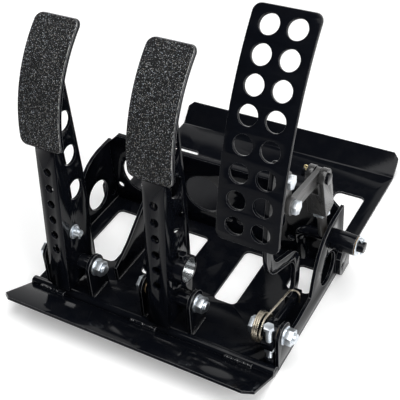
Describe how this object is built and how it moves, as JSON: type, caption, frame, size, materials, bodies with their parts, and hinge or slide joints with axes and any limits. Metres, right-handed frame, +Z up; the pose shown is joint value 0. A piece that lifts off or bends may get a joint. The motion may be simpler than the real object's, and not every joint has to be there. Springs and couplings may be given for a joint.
{
  "type": "pedal box",
  "caption": "Floor-mounted pedal box with clutch, brake and throttle pedals on a folded steel base with a cylinder bulkhead, balance bar tube and throttle cable crank.",
  "frame": {"origin": "under the middle of the flat deck, on the face that rests on the floor", "axes": "+X to the driver's right, +Y forward away from the driver, +Z up from the deck"},
  "size_m": [0.3408, 0.4143, 0.3389],
  "materials": {
    "black_paint": "gloss",
    "zinc_plate": "satin",
    "grip_tape": "rough",
    "bronze": "satin",
    "spring_steel": "satin"
  },
  "bodies": {
    "base": {"base_deck": "black_paint", "heel_lip": "black_paint", "fold_bar": "black_paint", "fold_welds": "black_paint", "cylinder_bulkhead": "black_paint", "left_side_plate": "black_paint", "right_side_plate": "black_paint", "side_lugs": "black_paint", "centre_gusset": "black_paint", "clutch_outer_ear": "black_paint", "clutch_inner_ear": "black_paint", "brake_outer_ear": "black_paint", "brake_inner_ear": "black_paint", "clutch_pivot_bolt": "zinc_plate", "brake_pivot_bolt": "zinc_plate", "throttle_pivot_bolt": "zinc_plate", "pivot_nuts": "zinc_plate", "pivot_washers": "zinc_plate", "crank_bearing_tube": "black_paint", "crank_bushes": "bronze", "stop_boss": "black_paint", "return_spring_coil": "spring_steel"},
    "clutch": {"clutch_arm": "black_paint", "clutch_pad": "black_paint", "clutch_grip": "grip_tape", "clutch_pivot_tube": "black_paint", "clutch_bushes": "bronze", "clutch_clevis_pin": "zinc_plate", "clutch_pin_washer": "zinc_plate", "clutch_split_pin": "zinc_plate"},
    "brake": {"brake_arm": "black_paint", "brake_pad": "black_paint", "brake_grip": "grip_tape", "brake_pivot_tube": "black_paint", "brake_bushes": "bronze", "balance_tube": "black_paint", "balance_lock_screw": "black_paint"},
    "throttle": {"throttle_pad": "black_paint", "throttle_arm": "black_paint", "throttle_lever": "black_paint", "throttle_pivot_tube": "black_paint", "throttle_bushes": "bronze", "stop_bolt": "zinc_plate", "stop_locknut": "zinc_plate", "return_spring_hook": "spring_steel", "link_bracket": "black_paint", "link_bolts": "zinc_plate", "link_nuts": "zinc_plate"},
    "link": {"throttle_link": "black_paint"},
    "crank": {"crank_shaft": "black_paint", "crank_lever": "black_paint", "clevis_locknut": "zinc_plate", "clevis_fork": "black_paint", "clevis_pin": "black_paint", "clevis_clip": "zinc_plate", "crank_washer": "zinc_plate", "crank_split_pin": "zinc_plate"}
  },
  "joints": [
    {"name": "clutch_pivot", "type": "hinge", "parent": "base", "child": "clutch", "pos_m": [-0.105, -0.147, 0.039], "axis": [-1, 0, 0], "range_deg": [0, 25]},
    {"name": "brake_pivot", "type": "hinge", "parent": "base", "child": "brake", "pos_m": [0.02, -0.147, 0.039], "axis": [-1, 0, 0], "range_deg": [0, 20]},
    {"name": "throttle_pivot", "type": "hinge", "parent": "base", "child": "throttle", "pos_m": [0.1345, -0.147, 0.039], "axis": [-1, 0, 0], "range_deg": [0, 15], "stiffness_Nm_per_rad": 2, "springref_deg": -34.38},
    {"name": "link_pivot", "type": "hinge", "parent": "throttle", "child": "link", "pos_m": [0.1388, -0.107, 0.17], "axis": [-1, 0, 0], "range_deg": [-29.2, 0]},
    {"name": "crank_turn", "type": "hinge", "parent": "base", "child": "crank", "pos_m": [0.161, -0.026, 0.066], "axis": [-1, 0, 0], "range_deg": [0, 21]}
  ],
  "couplings": [
    {"joint": "link_pivot", "follows": "throttle_pivot", "ratio": -1.928},
    {"joint": "crank_turn", "follows": "throttle_pivot", "ratio": 1.38}
  ]
}
